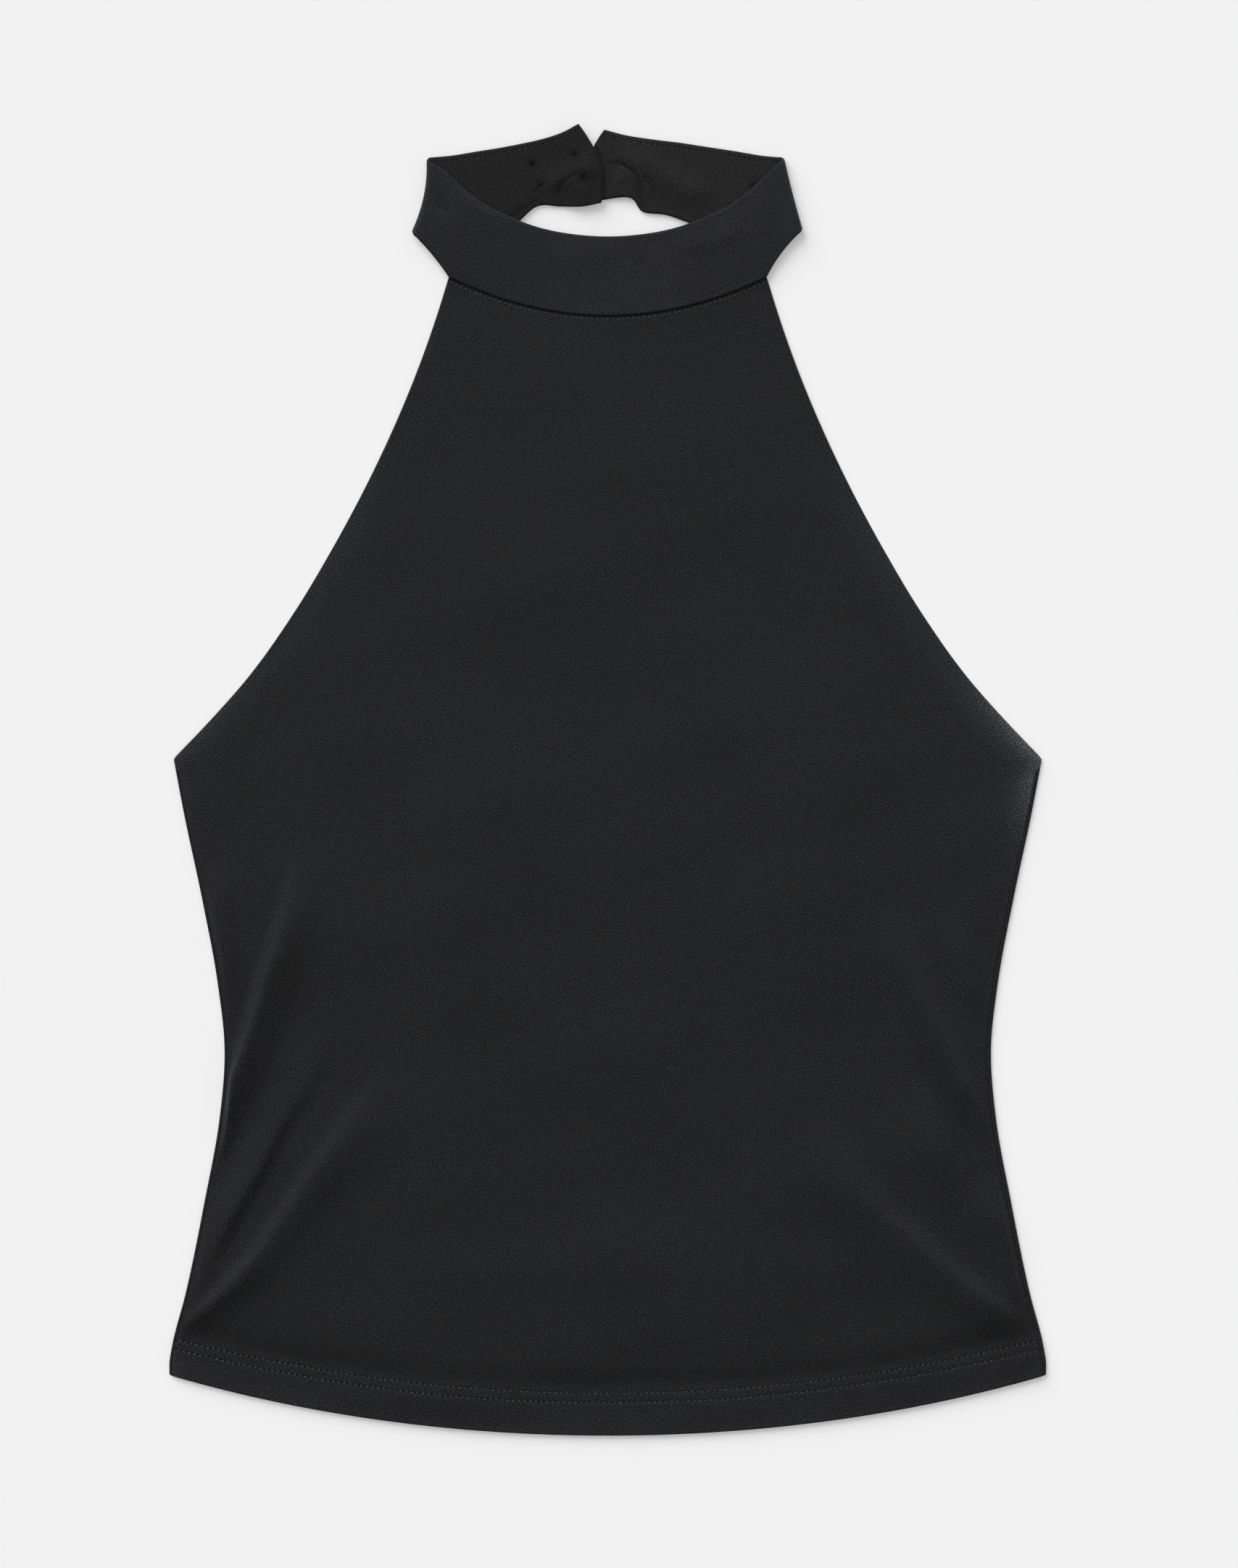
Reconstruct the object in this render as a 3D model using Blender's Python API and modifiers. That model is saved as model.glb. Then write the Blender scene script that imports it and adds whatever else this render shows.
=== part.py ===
"""A high neck halter top that lies flat on a surface, front up.

The back panel lies on the surface and the front panel on it. Above the underarm there is only the front panel,
and it comes down to the surface. The collar band has two plies, is folded flat at both sides of the neck, and is
open at centre back, where its left end laps over its right end. X runs across the garment, Y up to the neck and Z
away from the surface. Sizes are in millimetres, and the meshes in metres.
"""

from collections import namedtuple

import bpy
import numpy as np

MM = 0.001

# Cloth
PLY = 1.0
HEM_PLY = 1.4
GAP = 0.3
BAND_HALF = PLY + 0.5 * GAP
PANEL_COLOUR = (0.020, 0.020, 0.021, 1.0)
COLLAR_COLOUR = (0.023, 0.023, 0.024, 1.0)
FACING_COLOUR = (0.016, 0.016, 0.017, 1.0)

# Levels of the flat garment, measured at its sides
HEM_Y = -273.7
HEM_DEPTH = 19.7
UNDERARM_Y = 10.0
BACK_TOP_Y = 8.0
NECK_Y = 231.9
NECK_HALF = 73.2

# How far the middle of the hem and of the neck seam lie below their ends
HEM_SAG = 28.2
NECK_SAG = 17.7

# The front panel comes down to the surface within this length above the underarm
STEP_DOWN = 42.0
# It rises to the collar's seam within this length
RISE_TO_NECK = 22.0
NECK_TOP_Z = 1.9

# The back panel rolls round each side onto the front and ends here, inside the outline
SEAM_INSET = 1.8

# The collar band: the radius of its side folds, and the share of its front that is sewn to the front panel
COLLAR_TURN = 1.6
SEWN_SHARE = 0.8
COLLAR_ROWS = 6
# Its edges part at a side fold: the front's top edge falls and the back's rises, and the front's lower edge falls
TOP_EDGE_SPREAD = 1.3
LOW_EDGE_DROP = 3.0

Level = namedtuple("Level", "y half_width")
Fold = namedtuple("Fold", "height width fade_in fade_out spine")
SideFold = namedtuple("SideFold", "top_x top_y tip_x tip_y hollow")
FrontSection = namedtuple("FrontSection", "share top_x top_y z_top z_mid z_low")
BackSection = namedtuple("BackSection", "share top_x top_y low_x low_y bulge z")

ARMHOLE = (
    Level(10.0, 200.0),
    Level(26.1, 184.6),
    Level(46.1, 166.9),
    Level(76.2, 145.3),
    Level(106.3, 127.2),
    Level(146.4, 106.1),
    Level(186.5, 88.6),
    Level(216.6, 77.9),
    Level(231.9, 73.2),
)

SIDE_SEAM = (
    Level(-273.7, 201.9),
    Level(-264.7, 201.8),
    Level(-254.7, 200.2),
    Level(-234.6, 194.7),
    Level(-194.5, 185.8),
    Level(-154.4, 178.6),
    Level(-124.3, 176.5),
    Level(-94.2, 179.6),
    Level(-54.1, 187.0),
    Level(-14.0, 195.5),
    Level(10.0, 200.0),
)

# The largest folds of the front panel. Each fans out from a hem corner or from the waist.
FOLDS = (
    Fold(2.2, 7.0, 0.35, 0.20, ((-144, -38), (-158, -76), (-167, -115), (-177, -145))),
    Fold(3.0, 9.5, 0.40, 0.10, ((-93, -120), (-128, -170), (-165, -207), (-197, -250))),
    Fold(2.5, 11.0, 0.35, 0.10, ((95, -148), (126, -193), (162, -226), (197, -246))),
    Fold(1.4, 8.0, 0.40, 0.25, ((138, -58), (151, -98), (163, -126), (173, -150))),
)

# Where the collar's outline turns over at each side, and how far that line is hollowed towards the neck
LEFT_FOLD = SideFold(-83.2, 286.4, -89.9, 253.8, 2.2)
RIGHT_FOLD = SideFold(81.0, 286.6, 89.2, 255.0, 0.3)

# Half of the collar's front, from centre front (0) towards a side fold (1), with the heights of the band's middle
COLLAR_FRONT = (
    FrontSection(0.00, 0.0, 251.0, 3.2, 2.3, 1.4),
    FrontSection(0.25, 23.5, 253.2, 3.4, 2.6, 1.4),
    FrontSection(0.50, 43.5, 259.2, 4.1, 3.3, 1.4),
    FrontSection(0.65, 56.5, 265.6, 4.3, 3.9, 1.6),
    FrontSection(0.80, 67.5, 273.9, 4.35, 4.2, 2.3),
    FrontSection(0.90, 74.3, 280.4, 4.35, 4.35, 3.3),
)

# The collar's back, from a side fold (0) to its end at centre back (1)
COLLAR_BACK_LEFT = (
    BackSection(0.15, -71.5, 288.4, -70.0, 252.5, 0.0, 1.15),
    BackSection(0.30, -60.0, 290.3, -56.0, 252.3, 0.0, 1.15),
    BackSection(0.45, -50.5, 291.8, -44.0, 255.6, 0.0, 1.15),
    BackSection(0.60, -41.0, 293.6, -33.0, 264.6, 0.0, 1.15),
    BackSection(0.75, -32.0, 295.6, -23.0, 264.8, 0.6, 1.15),
    BackSection(0.87, -23.0, 298.1, -13.5, 264.3, 2.5, 3.75),
    BackSection(1.00, -13.7, 301.8, -3.1, 266.4, 5.7, 3.75),
)

COLLAR_BACK_RIGHT = (
    BackSection(0.15, 71.0, 288.3, 70.5, 250.7, 0.0, 1.15),
    BackSection(0.30, 58.5, 290.4, 55.5, 251.7, 0.0, 1.15),
    BackSection(0.45, 46.0, 292.3, 41.5, 255.8, 0.0, 1.15),
    BackSection(0.60, 33.0, 294.3, 27.0, 260.8, 0.0, 1.15),
    BackSection(0.73, 21.5, 295.7, 16.0, 262.4, 0.0, 1.15),
    BackSection(0.85, 10.0, 297.4, 10.3, 268.6, -1.0, 1.15),
    BackSection(1.00, -1.6, 299.6, -9.0, 266.8, -4.5, 1.15),
)


def spaced(start, end, count):
    """Evenly spaced values from start to end, both included."""
    return [float(value) for value in np.linspace(start, end, count)]


def eased(share):
    """0 to 1 with level ends."""
    share = min(max(share, 0.0), 1.0)
    return share * share * (3.0 - 2.0 * share)


def smooth(table, at):
    """The columns of a table, on a smooth curve through its rows. The first column is the curve's parameter."""
    rows = np.array(table, float)
    keys, values = rows[:, 0], rows[:, 1:]
    slopes = np.gradient(values, keys, axis=0)
    row = int(np.clip(np.searchsorted(keys, at, "right") - 1, 0, len(keys) - 2))
    span = keys[row + 1] - keys[row]
    t = (at - keys[row]) / span
    from_start = values[row] + t * t * (3 - 2 * t) * (values[row + 1] - values[row])
    lean = t * (1 - t) * span * ((1 - t) * slopes[row] - t * slopes[row + 1])
    return from_start + lean


def stepped(table, at):
    """The last column of a table, level at each row and eased in between, so that it never overshoots."""
    for here, there in zip(table, table[1:]):
        if at <= there[0]:
            return here[-1] + (there[-1] - here[-1]) * eased((at - here[0]) / (there[0] - here[0]))
    return table[-1][-1]


def half_width(y):
    """Half the garment's width where its outline stands at y."""
    return smooth(ARMHOLE if y >= UNDERARM_Y else SIDE_SEAM, y)[0]


def row_y(y_side, across):
    """The height of a row's point, where across runs from -1 to 1 and the row's ends stand at y_side."""
    share = (y_side - HEM_Y) / (NECK_Y - HEM_Y)
    sag = HEM_SAG + (NECK_SAG - HEM_SAG) * share
    return y_side - sag * (1.0 - across * across)


def neck_seam_y(x):
    return row_y(NECK_Y, x / NECK_HALF)


def in_hem(y_side):
    """1 where the cloth is turned up and double, else 0."""
    return 1.0 if y_side <= HEM_Y + HEM_DEPTH else 0.0


def wall_at(y_side):
    return PLY + (HEM_PLY - PLY) * in_hem(y_side)


def spine_place(x, y, spine):
    """(distance from the line, share of the way along it) of a point."""
    spans = [np.hypot(b[0] - a[0], b[1] - a[1]) for a, b in zip(spine, spine[1:])]
    best = (1e9, 0.0)
    done = 0.0
    for (ax, ay), (bx, by), span in zip(spine, spine[1:], spans):
        share = ((x - ax) * (bx - ax) + (y - ay) * (by - ay)) / span**2
        share = min(max(share, 0.0), 1.0)
        away = float(np.hypot(x - ax - share * (bx - ax), y - ay - share * (by - ay)))
        best = min(best, (away, (done + share * span) / sum(spans)))
        done += span
    return best


def folds_z(x, y):
    """How far the folds lift the front panel. They die away at the side seams."""
    lift = 0.0
    for fold in FOLDS:
        away, along = spine_place(x, y, fold.spine)
        ends = eased(along / fold.fade_in) * eased((1.0 - along) / fold.fade_out)
        lift += fold.height * ends * np.exp(-((away / fold.width) ** 2))
    return lift


def front_top_z(y_side):
    """The height of the front panel's face, without its folds."""
    if y_side <= UNDERARM_Y:
        return 2.0 * wall_at(y_side) + GAP
    down = eased((y_side - UNDERARM_Y) / STEP_DOWN)
    up = eased((y_side - NECK_Y + RISE_TO_NECK) / RISE_TO_NECK)
    return 2.0 * PLY + GAP - (PLY + GAP) * down + (NECK_TOP_Z - PLY) * up


def front_rows():
    """Rows of the front panel's face, hem to neck seam. Below the underarm they end at the side seams."""
    hem_top = HEM_Y + HEM_DEPTH
    levels = spaced(HEM_Y, hem_top, 4) + spaced(hem_top + 2.0, -50.0, 28) + spaced(-40.0, -4.0, 4)
    seam_end = UNDERARM_Y - 1.1
    levels += [seam_end, *spaced(UNDERARM_Y, UNDERARM_Y + STEP_DOWN, 6)]
    levels += spaced(64.0, NECK_Y - RISE_TO_NECK, 10) + spaced(NECK_Y - 0.6 * RISE_TO_NECK, NECK_Y - GAP, 4)
    # Columns crowd towards the sides, where the folds are
    columns = [0.65 * t + 0.35 * np.sin(0.5 * np.pi * t) for t in spaced(-1, 1, 40)]
    rows = []
    for y_side in levels:
        outline = half_width(y_side)
        inset = SEAM_INSET + GAP if y_side <= seam_end else 0.0
        row = []
        for column in columns:
            x = (outline - inset) * column
            y = row_y(y_side, x / outline)
            edge = eased((outline - abs(x)) / 9.0)
            row.append((x, y, front_top_z(y_side) + edge * folds_z(x, y)))
        rows.append(row)
    return rows, [in_hem(y_side) for y_side in levels]


def back_rows():
    """Rows of the back panel's outer face, hem to top edge, each from lip to lip round both rolled sides."""
    hem_top = HEM_Y + HEM_DEPTH
    levels = spaced(HEM_Y, hem_top, 3) + spaced(hem_top + 2.0, BACK_TOP_Y, 21)
    rows = []
    for y_side in levels:
        outline = half_width(y_side)
        roll = 0.5 * front_top_z(y_side)
        right = [(x, 0.0) for x in spaced(0.0, outline - roll, 9)[1:]]
        for turn in np.radians(spaced(36.0, 180.0, 5)):
            right.append((outline - roll + roll * np.sin(turn), roll - roll * np.cos(turn)))
        right.append((outline - SEAM_INSET, 2.0 * roll))
        left = [(-x, z) for x, z in reversed(right)]
        section = [*left, (0.0, 0.0), *right]
        rows.append([(x, row_y(y_side, x / outline), z) for x, z in section])
    return rows, [in_hem(y_side) for y_side in levels]


def at_fold(fold, turn):
    """The band's top, low end and height round a side fold, where turn 0 faces front and pi faces the back."""
    top = np.array((fold.top_x, fold.top_y))
    tip = np.array((fold.tip_x, fold.tip_y))
    line = (tip - top) / np.linalg.norm(tip - top)
    out = np.sign(fold.top_x) * np.array((-line[1], line[0]))
    to_front = np.cos(turn)
    reach = (COLLAR_TURN * np.sin(turn) - COLLAR_TURN - BAND_HALF) * out
    top = top + reach - (0.0, TOP_EDGE_SPREAD * to_front)
    low = tip + reach - (0.0, LOW_EDGE_DROP * 0.5 * (1.0 + to_front))
    return top, low, BAND_HALF + COLLAR_TURN * (1.0 + to_front)


def band_row(top, low, bulge, heights):
    """Points down the band's middle from its top edge to its lower edge, with a bulge along X."""
    z_top, z_mid, z_low = heights
    row = []
    for v in spaced(0.0, 1.0, COLLAR_ROWS + 1):
        x = top[0] + v * (low[0] - top[0]) + 4.0 * v * (1.0 - v) * bulge
        y = top[1] + v * (low[1] - top[1])
        z = z_top * (1 - v) * (1 - 2 * v) + z_mid * 4 * v * (1 - v) + z_low * v * (2 * v - 1)
        row.append((x, y, z))
    return row


def back_band(table, fold, shares):
    """Rows of the collar's back, from its side fold towards its end."""
    top, low, z = at_fold(fold, np.pi)
    start = BackSection(0.0, *top, *low, -fold.hollow * np.sign(fold.top_x), z)
    sections = (start, *table)
    rows = []
    for share in shares:
        top_x, top_y, low_x, low_y, bulge, _ = smooth(sections, share)
        z = stepped(sections, share)
        rows.append(band_row((top_x, top_y), (low_x, low_y), bulge, (z, z, z)))
    return rows


def front_low_edge(share):
    """The lower edge of the collar's front: sewn to the front panel, then free up to the side fold."""
    side = np.sign(share)
    if abs(share) <= SEWN_SHARE:
        x = NECK_HALF * share / SEWN_SHARE
        return x, neck_seam_y(x)
    _, tip, _ = at_fold(LEFT_FOLD if side < 0 else RIGHT_FOLD, 0.0)
    reach = (abs(share) - SEWN_SHARE) / (1.0 - SEWN_SHARE)
    return side * NECK_HALF + reach * (tip[0] - side * NECK_HALF), NECK_Y + reach * (tip[1] - NECK_Y)


def front_band(shares):
    """Rows of the collar's front, from its left fold to its right fold."""
    ends = []
    for fold in (LEFT_FOLD, RIGHT_FOLD):
        top, _, z = at_fold(fold, 0.0)
        ends.append(FrontSection(np.sign(fold.top_x), *top, z, z, z))
    right = [*COLLAR_FRONT[1:], ends[1]]
    left = [s._replace(share=-s.share, top_x=-s.top_x) for s in reversed(COLLAR_FRONT[1:])]
    sections = [ends[0], *left, COLLAR_FRONT[0], *right]
    rows = []
    for share in shares:
        top_x, top_y = smooth(sections, share)[:2]
        heights = [stepped([(s.share, z) for s, z in zip(sections, column)], share) for column in
                   zip(*[(s.z_top, s.z_mid, s.z_low) for s in sections])]
        fold = LEFT_FOLD if share < 0 else RIGHT_FOLD
        bulge = -np.sign(share) * fold.hollow * eased((abs(share) - 0.75) / 0.25)
        rows.append(band_row((top_x, top_y), front_low_edge(share), bulge, heights))
    return rows


def turn_rows(fold, turns):
    """Rows round a side fold, by the angle turned from the front's side, in degrees."""
    rows = []
    for turn in np.radians(turns):
        top, low, z = at_fold(fold, turn)
        rows.append(band_row(top, low, -fold.hollow * np.sign(fold.top_x), (z, z, z)))
    return rows


def collar_rows():
    """Rows of the whole band, from its left end round the front to its right end."""
    front_shares = spaced(-1.0, -SEWN_SHARE, 4) + spaced(-SEWN_SHARE, SEWN_SHARE, 19)[1:]
    front_shares += spaced(SEWN_SHARE, 1.0, 4)[1:]
    turns = spaced(36.0, 144.0, 4)
    back_shares = spaced(0.0, 1.0, 15)
    return [
        *back_band(COLLAR_BACK_LEFT, LEFT_FOLD, back_shares[::-1]),
        *turn_rows(LEFT_FOLD, turns[::-1]),
        *front_band(front_shares),
        *turn_rows(RIGHT_FOLD, turns),
        *back_band(COLLAR_BACK_RIGHT, RIGHT_FOLD, back_shares),
    ]


def cloth_material(name, colour):
    material = bpy.data.materials.new(name)
    material.use_nodes = True
    material.diffuse_color = colour
    shader = material.node_tree.nodes["Principled BSDF"]
    shader.inputs["Base Color"].default_value = colour
    shader.inputs["Roughness"].default_value = 0.85
    shader.inputs["Metallic"].default_value = 0.0
    return material


def add_wall(name, rows, colour, offset, collection, doubled=None):
    """A cloth wall on a grid of points. doubled holds 1 for each row where the hem is turned up."""
    count = len(rows[0])
    points = [tuple(MM * value for value in point) for row in rows for point in row]
    faces = []
    for i in range(len(rows) - 1):
        for j in range(count - 1):
            corner = i * count + j
            faces.append((corner, corner + 1, corner + count + 1, corner + count))
    mesh = bpy.data.meshes.new(name)
    mesh.from_pydata(points, [], faces)
    mesh.shade_smooth()
    mesh.materials.append(cloth_material(name, colour))
    wall = bpy.data.objects.new(name, mesh)
    collection.objects.link(wall)
    solidify = wall.modifiers.new("cloth thickness", "SOLIDIFY")
    solidify.thickness = PLY * MM
    solidify.offset = offset
    solidify.use_even_offset = True
    if doubled:
        group = wall.vertex_groups.new(name="turned up hem")
        for i, weight in enumerate(doubled):
            group.add(list(range(i * count, (i + 1) * count)), weight, "REPLACE")
        solidify.thickness = HEM_PLY * MM
        solidify.vertex_group = group.name
        solidify.thickness_vertex_group = PLY / HEM_PLY
    return wall


def main():
    for obj in list(bpy.data.objects):
        bpy.data.objects.remove(obj)
    garment = bpy.data.collections.new("high neck top")
    bpy.context.scene.collection.children.link(garment)

    # The front panel's face is its upper side, so its wall grows down. The back panel's grows up from the surface.
    rows, doubled = front_rows()
    add_wall("front_panel", rows, PANEL_COLOUR, -1.0, garment, doubled)
    rows, doubled = back_rows()
    add_wall("back_panel", rows, PANEL_COLOUR, 1.0, garment, doubled)

    # Both plies of the collar follow the band's middle, each half a gap to its own side of it
    rows = collar_rows()
    beside = 1.0 + GAP / PLY
    add_wall("collar_outer", rows, COLLAR_COLOUR, beside, garment)
    add_wall("collar_facing", rows, FACING_COLOUR, -beside, garment)


main()
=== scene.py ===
"""The looks of a high neck halter top of black crepe jersey that lies flat on a pale surface, front up."""

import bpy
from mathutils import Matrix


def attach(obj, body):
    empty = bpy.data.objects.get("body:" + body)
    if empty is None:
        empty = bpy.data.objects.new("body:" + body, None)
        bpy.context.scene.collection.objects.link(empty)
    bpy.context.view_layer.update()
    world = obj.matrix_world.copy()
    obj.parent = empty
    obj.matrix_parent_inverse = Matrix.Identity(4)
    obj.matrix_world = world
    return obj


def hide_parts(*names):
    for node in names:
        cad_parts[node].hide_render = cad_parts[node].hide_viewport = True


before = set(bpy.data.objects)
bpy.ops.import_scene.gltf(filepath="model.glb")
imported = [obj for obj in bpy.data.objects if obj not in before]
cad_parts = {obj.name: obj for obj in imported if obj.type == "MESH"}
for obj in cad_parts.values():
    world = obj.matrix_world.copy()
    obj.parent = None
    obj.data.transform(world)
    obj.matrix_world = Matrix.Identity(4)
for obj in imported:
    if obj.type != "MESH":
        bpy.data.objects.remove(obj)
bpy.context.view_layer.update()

from collections import namedtuple

import bpy
import numpy as np

# Front panel. One piece of black stretch crepe jersey, neck seam to hem, its armhole edges turned under. Its
# side seams lie just inside the outline, and its hem is turned up 20 mm and sewn with a twin needle. Pulled
# flat, it folds from both hem corners up towards the waist. Sizes in this script are in millimetres.

MM = 0.001

# The levels of the hem's and the neck seam's ends. Both lines sag in the middle.
HEM_Y = -273.7
HEM_SAG = 28.2
NECK_Y = 231.9
NECK_HALF = 73.2
NECK_SAG = 17.7
UNDERARM_Y = 10.0
# The depth of the turned-up hem, its two sewn rows, and the neck's row, each from its own edge
HEM_TURN = 19.7
HEM_ROWS = (15.4, 19.7)
NECK_STITCH = 1.3
# How far the west and the east side seam lie inside the outline, and the gap between pieces sewn together
SEAM_INSETS = (1.1, 1.9)
GAP = 0.3
# The fine pile that stands out of an edge, and the level of the garment's lowest cloth
PILE = 0.3
BACK_REST_Z = 0.12

Level = namedtuple("Level", "y half_width")
Crease = namedtuple("Crease", "height west east narrowing fade_in fade_out spine")
Wave = namedtuple("Wave", "height x y reach_x reach_y")

# Half the outline's width at levels up each armhole, and up each side seam
ARMHOLE = (
    Level(10.0, 200.0),
    Level(26.1, 184.6),
    Level(46.1, 166.9),
    Level(76.2, 145.3),
    Level(106.3, 127.2),
    Level(146.4, 106.1),
    Level(186.5, 88.6),
    Level(216.6, 77.9),
    Level(231.9, 73.2),
)

SIDE_SEAM = (
    Level(-273.7, 201.9),
    Level(-264.7, 201.8),
    Level(-254.7, 200.2),
    Level(-234.6, 194.7),
    Level(-194.5, 185.8),
    Level(-154.4, 178.6),
    Level(-124.3, 176.5),
    Level(-94.2, 179.6),
    Level(-54.1, 187.0),
    Level(-14.0, 195.5),
    Level(10.0, 200.0),
)

# Each crease has a crest that falls off to the west and to the east of its line by its own widths. They
# narrow to a share along the way, and its ends fade over shares of its length. The lines run down from the
# waist or the flank.
BODY_CREASES = (
    Crease(6.4, 3.4, 13.0, 0.60, 0.45, 0.12,
           ((-141, -22), (-144, -43), (-148, -61), (-154, -79), (-160, -99), (-167, -121), (-174, -141),
            (-183, -162), (-190, -180))),
    Crease(2.4, 5.0, 6.5, 1.0, 0.35, 0.50,
           ((-183, -35), (-179, -61), (-176, -79), (-174, -99), (-172, -110))),
    Crease(2.9, 13.5, 4.2, 0.60, 0.55, 0.34,
           ((-122, -108), (-129, -121), (-140, -141), (-152, -161), (-161.5, -181), (-173, -201),
            (-183.5, -221), (-194, -240))),
    Crease(3.3, 7.0, 22.0, 0.22, 0.50, 0.20,
           ((-88, -106), (-97, -121), (-105, -141), (-119, -161), (-135, -181), (-149, -201), (-163, -221),
            (-182, -240), (-193, -249), (-204, -258))),
    Crease(4.0, 13.0, 5.5, 0.70, 0.55, 0.25,
           ((130, -50), (133, -65), (138, -79), (146, -99), (155, -121), (164, -141), (174, -166))),
    Crease(2.2, 5.0, 4.5, 0.90, 0.50, 0.35, ((158, -60), (164, -79), (169, -99), (171.5, -112))),
    Crease(2.0, 8.0, 6.0, 1.0, 0.50, 0.50, ((143, -136), (149, -160), (155, -181), (162, -206))),
    Crease(2.3, 14.0, 4.0, 0.60, 0.40, 0.20, ((175, -178), (183, -200), (191, -221), (198, -243))),
    Crease(3.7, 24.0, 8.0, 0.45, 0.40, 0.20,
           ((90, -150), (99, -166), (108, -181), (126, -201), (150, -221), (174, -240), (195, -252))),
)

# Broad soft waves where the cloth doesn't lie level
BODY_WAVES = (
    Wave(1.9, 95, -5, 32, 50),
    Wave(1.7, -75, -60, 20, 70),
    Wave(0.7, 20, -225, 60, 16),
    Wave(1.0, -75, -226, 36, 14),
    Wave(1.2, 5, 120, 30, 60),
    Wave(1.0, -60, 90, 26, 50),
    Wave(1.0, 110, -225, 26, 14),
)
# Faint waves of these lengths, in chance directions, each as high as a share of its length
FAINT_LENGTHS = (36.0, 43.0, 52.0, 61.0, 74.0, 88.0, 105.0, 130.0)
FAINT_SHARE = 0.0028
FAINT_SEED = 11


def spaced(start, end, count):
    """Evenly spaced values from start to end, both included."""
    return [float(value) for value in np.linspace(start, end, count)]


def eased(share):
    """0 to 1 with level ends."""
    share = np.clip(share, 0.0, 1.0)
    return share * share * (3.0 - 2.0 * share)


def rounded(distance, reach):
    """0 at an edge and 1 from reach on, on a quarter circle."""
    t = np.clip(distance / reach, 0.0, 1.0)
    return np.sqrt(np.maximum(1.0 - (1.0 - t) ** 2, 0.0))


def running(points, axis):
    """How far each point of a line or a grid lies along that axis from its first one."""
    spans = np.linalg.norm(np.diff(points, axis=axis), axis=-1)
    start = np.zeros_like(np.take(spans, [0], axis=axis))
    return np.concatenate([start, np.cumsum(spans, axis=axis)], axis=axis)


def smooth(table, at):
    """A table's other columns where its first is at this value, on a smooth curve through its rows."""
    rows = np.array(table, float)
    keys, values = rows[:, 0], rows[:, 1:]
    slopes = np.gradient(values, keys, axis=0)
    row = int(np.clip(np.searchsorted(keys, at, "right") - 1, 0, len(keys) - 2))
    span = keys[row + 1] - keys[row]
    t = (at - keys[row]) / span
    from_start = values[row] + t * t * (3 - 2 * t) * (values[row + 1] - values[row])
    lean = t * (1 - t) * span * ((1 - t) * slopes[row] - t * slopes[row + 1])
    return from_start + lean


def half_width(y):
    """Half the garment's width where its outline stands at y, with its pile."""
    return float(smooth(ARMHOLE if y >= UNDERARM_Y else SIDE_SEAM, y)[0]) + PILE


def row_y(y_side, across):
    """The height of a row's point, where across runs from -1 to 1 and the row's ends stand at y_side."""
    share = (y_side - HEM_Y) / (NECK_Y - HEM_Y)
    sag = HEM_SAG + (NECK_SAG - HEM_SAG) * share
    # The hem's edge hangs a little lower than its curve, and its sewn rows bend down towards the corners
    from_hem = y_side - HEM_Y
    edge_drop = 0.4 + 2.0 * across**2 - 1.7 * across**4
    row_drop = 1.2 + 2.7 * across**2
    drop = edge_drop + (row_drop - edge_drop) * eased(from_hem / 15.0)
    return y_side - sag * (1.0 - across * across) - drop * (1.0 - eased((from_hem - 20.0) / 70.0))


def creases_at(x, y, creases):
    """How far the creases lift the cloth at each point."""
    lift = np.zeros_like(x)
    for crease in creases:
        spine = np.array(crease.spine, float)
        steps = np.diff(spine, axis=0)
        spans = np.hypot(*steps.T)
        total = spans.sum()
        away = np.full_like(x, 1e9)
        along = np.zeros_like(x)
        east = np.zeros(x.shape, bool)
        done = 0.0
        for (ax, ay), (dx, dy), span in zip(spine, steps, spans):
            share = np.clip(((x - ax) * dx + (y - ay) * dy) / span**2, 0.0, 1.0)
            off_x = x - ax - share * dx
            off_y = y - ay - share * dy
            here = np.hypot(off_x, off_y)
            nearer = here < away
            away = np.where(nearer, here, away)
            along = np.where(nearer, (done + share * span) / total, along)
            east = np.where(nearer, dx * off_y - dy * off_x > 0, east)
            done += span
        width = np.where(east, crease.east, crease.west) * (1.0 + (crease.narrowing - 1.0) * along)
        ends = eased(along / crease.fade_in) * eased((1.0 - along) / crease.fade_out)
        lift += crease.height * ends * np.exp(-((away / width) ** 2))
    return lift


def waves_at(x, y, waves):
    """Broad waves, and a faint unevenness that never quite repeats."""
    chance = np.random.default_rng(FAINT_SEED)
    lift = np.zeros_like(x)
    for length in FAINT_LENGTHS:
        turn = chance.uniform(0.0, np.pi)
        phase = chance.uniform(0.0, 2.0 * np.pi)
        along = x * np.cos(turn) + y * np.sin(turn)
        lift += FAINT_SHARE * length * np.sin(2.0 * np.pi * along / length + phase)
    for wave in waves:
        off_x = (x - wave.x) / wave.reach_x
        off_y = (y - wave.y) / wave.reach_y
        lift += wave.height * np.exp(-(off_x**2) - off_y**2)
    return lift


def hem_share(from_hem):
    """1 where the cloth is turned up and double, else 0."""
    return 1.0 - eased((from_hem - HEM_TURN - 0.6) / 3.0)


# The level of the face over the back panel, how much higher it is at the hem, and how much lower on the chest
FACE_Z = 1.95
HEM_RAISE = 0.45
CHEST_FALL = 0.7


def crown_z(y_side):
    """The level of the garment's face without its creases."""
    chest = eased((y_side - UNDERARM_Y) / 60.0)
    return FACE_Z + HEM_RAISE * hem_share(y_side - HEM_Y) - CHEST_FALL * chest


def side_drop(distance, y_side):
    """How far the face has fallen this far inside a side, where front and back roll over together."""
    fall = crown_z(y_side) - 1.0 - 0.4 * hem_share(y_side - HEM_Y)
    return fall * (1.0 - rounded(distance, 4.5))


def sewn_dip(from_hem):
    """How far the twin needle's rows pull the cloth in."""
    return sum(0.12 * np.exp(-(((from_hem - row) / 0.45) ** 2)) for row in HEM_ROWS)


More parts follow.
